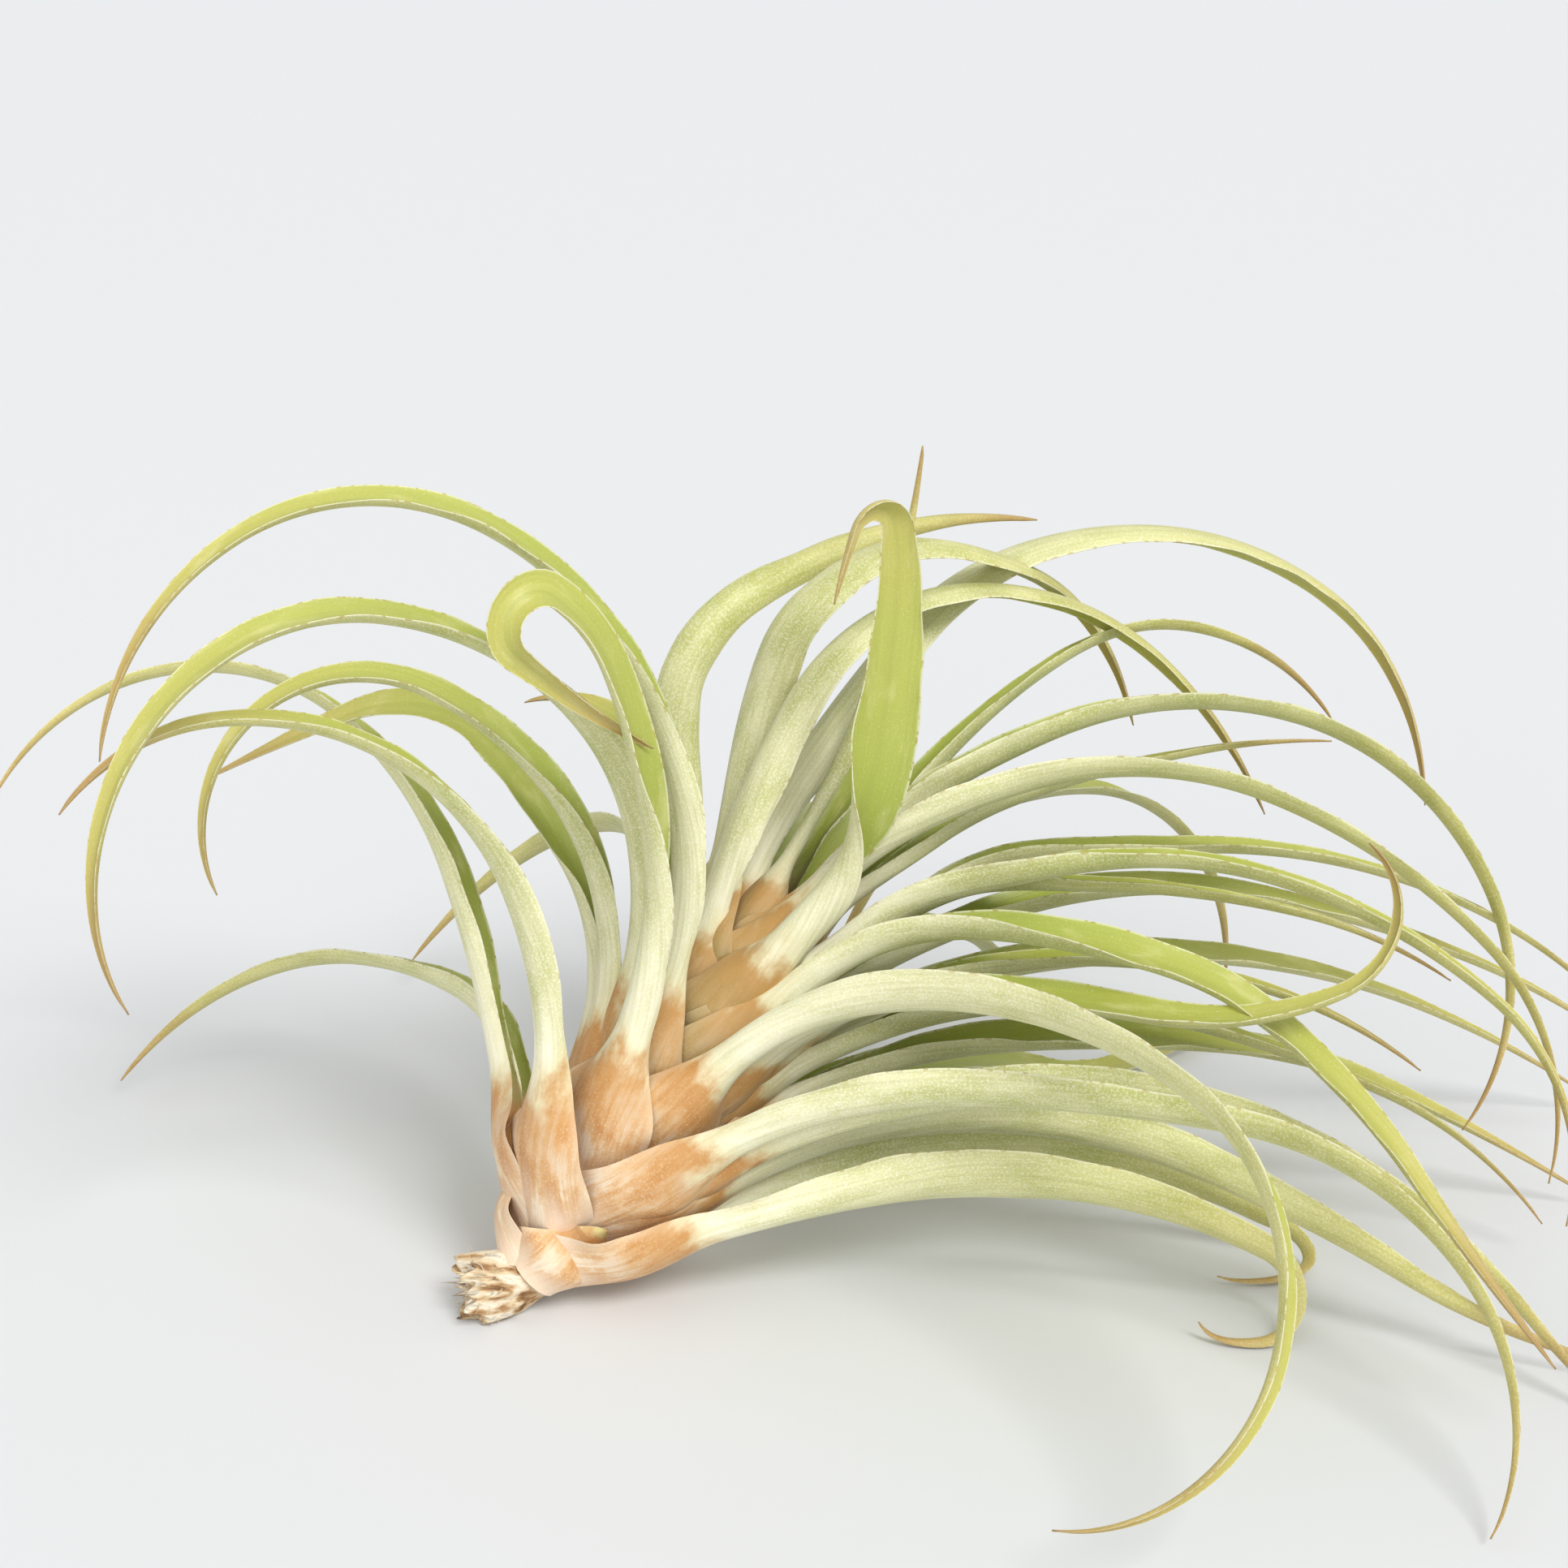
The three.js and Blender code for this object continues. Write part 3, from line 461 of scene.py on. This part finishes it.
def stemMesh():
    # The stem is a tube: a point is the centre + radius * (right * cos(angle) + up * sin(angle)), and
    # its end is a few smaller rings. Splinters are thin tubes that taper to a point.
    look = stemLook
    rng = np.random.default_rng(7)
    s = np.linspace(-plant["stumpLength"], plant["stemLength"], look["rings"])
    angle = np.linspace(0, 2 * math.pi, look["around"], endpoint=False)
    centre, way = stemRoute(s)
    ahead = unit(np.gradient(centre, axis=0))
    right = unit(np.cross(ahead, top))
    up = np.cross(right, ahead)
    # Radius: the stem's, slimming to the growing tip. The stump swells in lengthwise lumps, a sum
    # of sines round it that drift along it.
    slimmed = smooth((s / plant["stemLength"] - plant["slimFrom"]) / (1 - plant["slimFrom"]))
    slim = 1 - (1 - plant["tipShare"]) * slimmed
    stump = smooth(-s / look["swellOver"])[:, None]
    phases = rng.uniform(0, 6, len(look["lumpWaves"]))
    lumps = sum(size * np.sin(turns * angle + s[:, None] * drift + phase)
                for (size, turns, drift), phase in zip(look["lumpWaves"], phases))
    radius = plant["stemRadius"] * slim[:, None] * (1 + (plant["stumpFlare"] - 1) * stump)
    radius = radius + look["lumps"] * lumps * stump
    # The broken end is torn: rings near it are pulled out and pushed in round the stem.
    phases = rng.uniform(0, 6, len(look["tornWaves"]))
    torn = look["torn"] * sum(np.sin(turns * angle + phase)
                              for turns, phase in zip(look["tornWaves"], phases))
    pull = smooth((look["tornBack"] - s - plant["stumpLength"]) / look["tornBack"])[:, None] * torn
    rings = (centre[:, None] + right[:, None] * (radius * np.cos(angle))[..., None]
             + up[:, None] * (radius * np.sin(angle))[..., None] + way * pull[..., None])
    shrink = np.array(look["endRings"])[:, None, None]
    pits = 0.9 * np.sin(4 * angle + shrink[..., 0] * 19) + 0.7 * np.sin(7 * angle - shrink[..., 0] * 31)
    end = rings[0].mean(0) + (rings[0] - rings[0].mean(0)) * shrink + way * (pits * shrink[..., 0])[..., None]
    tip = rings[-1].mean(0) + (rings[-1] - rings[-1].mean(0)) * shrink[::-1]
    core = closedTubes(np.concatenate([end, rings, tip])[None])
    # Splinters of torn fibre stand off the stump's side and end, thin, bent and pointed.
    count = look["splinters"]
    seat = -plant["stumpLength"] + look["splinterReach"] * rng.random(count) ** 1.6
    facing = rng.uniform(0, 2 * math.pi, count)
    depth = np.where(rng.random(count) < look["inEnd"], rng.uniform(0.1, 0.9, count), look["rim"])
    depth = np.where(seat < -plant["stumpLength"] + look["endFibres"], depth, look["rim"])
    row = np.clip(np.searchsorted(s, seat), 0, len(s) - 1)
    off = right[row] * np.cos(facing)[:, None] + up[row] * np.sin(facing)[:, None]
    base = np.stack([np.interp(seat, s, centre[:, axis]) for axis in range(3)], 1)
    base = base + off * (depth * plant["stemRadius"] * look["outside"])[:, None]
    splay = rng.uniform(*look["splay"], count)[:, None]
    aim = unit(way * (1 - 0.4 * splay) + off * splay + rng.normal(0, look["stray"], (count, 3)))
    flatWay = unit(np.cross(aim, off))
    thinWay = np.cross(flatWay, aim)
    long = (look["longest"] * rng.uniform(0.25, 1, count) ** 1.3)[:, None, None]
    wide = look["widest"] * rng.uniform(0.25, 1, count)
    share = np.linspace(0, 1, look["splinterRows"])
    curl = rng.normal(0, look["curl"], (count, 1, 1)) * share[:, None] ** 2
    spine = (base[:, None] + aim[:, None] * ((share - look["root"])[:, None] * long)
             + thinWay[:, None] * curl * long)
    size = (wide[:, None] * (1 - share ** 1.7) + look["point"])[..., None, None] / 2
    corner = np.linspace(0, 2 * math.pi, look["splinterSides"], endpoint=False)[:, None]
    outline = (np.cos(corner) * flatWay[:, None, None]
               + look["flatness"] * np.sin(corner) * thinWay[:, None, None])
    splinters = closedTubes(spine[:, :, None] + size * outline)
    spots = np.concatenate([core[0], splinters[0]])
    lowest = look["clearance"] - shift[2] + (0.05 * spots[:, 2]) % look["clearance"]    # not quite level
    spots[:, 2] = np.maximum(spots[:, 2], lowest)
    fibre = np.concatenate([np.zeros(len(core[0])),
                            np.repeat(rng.uniform(0.2, 1, count), len(splinters[0]) // count)])
    return place(spots), np.concatenate([core[1], splinters[1] + len(core[0])]), dict(fibre=fibre)


# Colours of the leaf. A coat is: the value it follows, where that starts and ends, the coat's share
# at each, and its colour.
leafCoat = dict(
    patterns=dict(                        # mm across and along the leaf that a spot takes, and its detail
        speck=(0.5, 0.7, 2), grain=(1.6, 2.6, 3), veins=(0.8, 36, 2), blotch=(6, 19, 3), broad=(11, 46, 3),
        patches=(8, 14, 4), streaks=(1.3, 20, 4)),
    sums=dict(                            # a start and shares of other values added to it
        wander=(-0.1, ("bladeShare", 1), ("broad", 0.2)),
        bareness=(0, ("blotch", 1), ("tone", 0.4)),
        felt=(0, ("speck", 0.8), ("grain", 0.2)),
        drying=(0, ("wander", 1), ("blotch", 0.2)),
        mottle=(0, ("patches", 0.7), ("streaks", 0.3)),
        sheathEdge=(-0.4, ("sheathShare", 1), ("patches", 0.8)),
        relief=(0, ("veins", 0.7), ("speck", 0.4), ("blotch", 0.8)),
        innerShade=(0, ("innerFace", 0.6))),
    ramps=dict(                           # what each ramp of colours follows, and its stops
        # outer face: pale at the neck, silvery green in the blade, ochre in the thread
        outer=("wander", ((0, "f6f2da"), (0.06, "ece9c8"), (0.2, "dbdaab"), (0.5, "d0d08f"), (0.8, "cac377"),
                          (0.95, "c6ae66"), (1, "b3924f"))),
        bareGreen=("wander", ((0, "e3e1b8"), (0.1, "c3c585"), (0.4, "adb35c"), (0.8, "b2ae58"),
                              (1, "a98c4b"))),
        # inner face: yellow-green, with painted shade making it darker olive near the stem
        inner=("wander", ((0, "85893f"), (0.08, "969f44"), (0.3, "a9b450"), (0.6, "b8bc5c"), (0.85, "c2b865"),
                          (0.97, "bba35f"), (1, "a98c4b"))),
        paper=("mottle", ((0.34, "bd8045"), (0.45, "cf9a60"), (0.52, "e0b888"), (0.6, "f3e2c8")))),
    feltShare=(0.45, 0.18),               # how thick the felt of scales lies, at the neck and at the tip
    outerCoats=(                          # bare patches, the felt of scales, veins
        ("bareness", 0.5, 1.0, 0, 1, "bareGreen"),
        ("felt", 0.44, 0.64, 0, "feltShare", "f8f7e8"),
        ("veins", 0.3, 0.62, 0.22, 0, "95914c")),
    innerCoats=(                          # veins, pale blotches, a few scales, and painted shade darkening the channel
        ("veins", 0.35, 0.7, 0.14, 0, "8f9440"),
        ("blotch", 0.52, 0.75, 0, 0.45, "dcd99a"),
        ("speck", 0.56, 0.74, 0, 0.22, "f0f0d2"),
        # painted shade along the middle of the channel, between the folded halves
        ("margin", 0, 0.3, 0.25, 0, "9aa04a")),
    rim="ecead0",                         # thin margins: a pale rim, scorched here and there
    rimCoats=(("grain", 0.52, 0.62, 0, 1, "b59a5c"),),
    bladeCoats=(                          # the rim, the drying tip, and an ochre edge above the sheath
        ("margin", 0.92, 1, 0, 0.6, "rim"),
        ("drying", 0.88, 1.14, 0, "dryness", "a98452"),
        ("sheathEdge", 0.92, 1.2, 0.45, 0, "d9cb92")),
    youngShade=("85703a", "bba96c"),           # young sheaths, dark and light: greener than old ones, and darkened as painted shade where they sit deep among the older leaves
    paperCoats=(                          # brown streaks, cream scuffs, a pale margin, and young sheaths darkened with painted shade
        ("streaks", 0.52, 0.75, 0, 0.45, "a86f3c"),
        ("speck", 0.52, 0.72, 0, 0.4, "f8ecd8"),
        ("margin", 0.8, 1, 0, 0.45, "f7e7cc"),
        # painted shade: later leaves, deep in the plant, take the darker young colours
        ("age", 0.3, 0.65, 0, 0.75, "youngShade")),
    # painted shade: a sheath's inner face is darkened towards this brown
    innerPaperShade="a8793f",
    sheathCoats=(                         # cream at the foot, ochre under the neck, and then the blade
        ("sheathEdge", 0.05, 0.4, 0.8, 0, "f6e2cb"),
        ("sheathEdge", 0.4, 0.85, 0, 0.65, "c08d4e"),
        ("sheathEdge", 0.8, 1.02, 0, 1, "blade")),
    rough=(0.56, 0.4),                    # outer face, inner face
    relief={"Strength": 0.4, "Distance": 0.0004},    # metres
    surface={"Specular IOR Level": 0.45, "Sheen Weight": 0.1, "Sheen Roughness": 0.5,
             "Subsurface Weight": 0.05, "Subsurface Radius": (0.9, 1.0, 0.35), "Subsurface Scale": 0.001},
)


def leafMaterial():
    # One leaf from sheath to thread. The outer face is silvery with a felt of pale scales
    # (trichomes), the inner face is smooth and brighter green, the sheath is papery and tan.
    look = leafCoat
    material, tree = newMaterial("trichome-coated leaf with papery sheath")
    at = {name: addNode(tree, "Attribute", {}, out="Fac", attribute_name=name)
          for name in ("bladeShare", "sheathShare", "innerFace", "margin", "tone", "dryness", "age")}
    flat = addNode(tree, "UVMap", {}, uv_map="flat")
    for name, (across, lengthwise, detail) in look["patterns"].items():    # the map is in metres
        scaled = addNode(tree, "Mapping", {"Vector": flat, "Scale": (1000 / across, 1000 / lengthwise, 1)})
        at[name] = addNode(tree, "TexNoise", {
            "Vector": scaled, "Scale": 1.0, "Detail": detail, "Roughness": 0.55}, out="Fac")
    for name, (total, *shares) in look["sums"].items():
        for value, share in shares:
            total = addNode(tree, "Math", {0: at[value], 1: share, 2: total}, operation="MULTIPLY_ADD")
        at[name] = total
    for name, (value, stops) in look["ramps"].items():
        at[name] = addNode(tree, "ValToRGB", {"Fac": at[value]}, stops=stops)
    thickFelt, thinFelt = look["feltShare"]
    at["feltShare"] = addNode(tree, "MapRange", {
        0: at["bladeShare"], 1: 0.1, 2: 0.9, 3: thickFelt, 4: thinFelt}, interpolation_type="SMOOTHSTEP")
    outer = paint(tree, at, at["outer"], look["outerCoats"])
    inner = paint(tree, at, at["inner"], look["innerCoats"])
    at["rim"] = paint(tree, at, linear(look["rim"]), look["rimCoats"])
    both = addNode(tree, "Mix", {0: at["innerFace"], 6: outer, 7: inner}, out=2, data_type="RGBA")
    at["blade"] = paint(tree, at, both, look["bladeCoats"])
    dark, light = [linear(colour) for colour in look["youngShade"]]
    # young sheaths' colours: greener, and darkened as painted shade
    at["youngShade"] = addNode(tree, "Mix", {0: at["mottle"], 6: dark, 7: light}, out=2, data_type="RGBA")
    paper = paint(tree, at, at["paper"], look["paperCoats"])
    # painted shade on the sheath's inner face
    paper = addNode(tree, "Mix", {0: at["innerShade"], 6: paper, 7: linear(look["innerPaperShade"])}, out=2,
                    data_type="RGBA")
    colour = paint(tree, at, paper, look["sheathCoats"])
    outerRough, innerRough = look["rough"]
    rough = addNode(tree, "Mix", {0: at["innerFace"], 2: outerRough, 3: innerRough}, data_type="FLOAT")
    bump = addNode(tree, "Bump", {"Height": at["relief"], **look["relief"]})
    shader = addNode(tree, "BsdfPrincipled", {
        "Base Color": colour, "Roughness": rough, "Normal": bump, **look["surface"]})
    addNode(tree, "OutputMaterial", {"Surface": shader})
    return material


stumpCoat = dict(
    along=0.28,                           # fibres are drawn out this way: the pattern's scale along the stump
    coarse=(420.0, 4.0), fine=(1500.0, 3.0),    # spots for each metre, about 2.4 and 0.7 mm, and their detail
    coarseStops=((0.3, "7b5c40"), (0.4, "b28e66"), (0.5, "d9c5a4"), (0.62, "ebe2cf"), (0.78, "aaa192")),
    strandStops=((0.2, "b9946a"), (0.45, "dfcdae"), (0.7, "efe8da"), (0.88, "a8a092"), (1, "7d5b3d")),
    # the fibre strands, then fine dark brown spots: painted shade standing for hollows between fibres
    coats=(("fibre", 0.05, 0.15, 0, 0.7, "strand"), ("fine", 0.52, 0.78, 0, 0.3, "5e4530")),
    relief={"Strength": 0.7, "Distance": 0.0006},    # metres
    surface={"Roughness": 0.88, "Specular IOR Level": 0.2},
)


def stumpMaterial():
    # Broken stem fibre: dry and matt, cream splinters over brown, with painted shade in dark spots standing
    # for hollows between.
    look = stumpCoat
    material, tree = newMaterial("broken stem fibre")
    spot = addNode(tree, "TexCoord", {}, out="Object")
    at = dict(fibre=addNode(tree, "Attribute", {}, out="Fac", attribute_name="fibre"))
    drawn = addNode(tree, "Mapping", {"Vector": spot, "Scale": (look["along"], 1, 1)})
    for name in ("coarse", "fine"):
        scale, detail = look[name]
        at[name] = addNode(tree, "TexNoise", {"Vector": drawn, "Scale": scale, "Detail": detail}, out="Fac")
    base = addNode(tree, "ValToRGB", {"Fac": at["coarse"]}, stops=look["coarseStops"])
    at["strand"] = addNode(tree, "ValToRGB", {"Fac": at["fibre"]}, stops=look["strandStops"])
    colour = paint(tree, at, base, look["coats"])
    bump = addNode(tree, "Bump", {"Height": at["fine"], **look["relief"]})
    shader = addNode(tree, "BsdfPrincipled", {"Base Color": colour, "Normal": bump, **look["surface"]})
    addNode(tree, "OutputMaterial", {"Surface": shader})
    return material


def tableMaterial():
    # Matt white table, plain and even.
    material, tree = newMaterial("matt white table")
    shader = addNode(tree, "BsdfPrincipled", {
        "Base Color": linear(studio["floorColour"]), "Roughness": studio["floorRough"],
        "Specular IOR Level": studio["floorShine"]})
    addNode(tree, "OutputMaterial", {"Surface": shader})
    return material


addCamera()
bpy.context.scene.view_settings.view_transform = "Standard"

paths = leafPaths()
settle(paths)
print("leaf paths: %d leaves of %d stations" % paths["run"].shape)

leafCover = leafMaterial()
faceCount = 0
for leaf, name in enumerate(leafNames):
    spots, faces, flat, values = leafMesh(paths, leaf)
    piece = addMesh("grown_" + name, spots, faces, leafCover, flat, values)
    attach(piece, "root")
    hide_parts(name)
    faceCount += len(faces)
print("leaves: %d faces" % faceCount)

spots, faces, values = stemMesh()
stump = addMesh("broken_stem", spots, faces, stumpMaterial(), None, values)
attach(stump, "root")
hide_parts("stem")
print("stem: %d faces" % len(faces))

wide = studio["floorWide"] / 2
corners = np.array([(-wide, -wide, 0), (wide, -wide, 0), (wide, wide, 0), (-wide, wide, 0)], float)
floor = addMesh("table", corners, np.array([[0, 1, 2, 3]]), tableMaterial())
addSky()
for number, (origin, wide, strength) in enumerate(studio["suns"]):
    addSun("sun_%d" % (number + 1), origin, wide, strength)
print("floor and light")
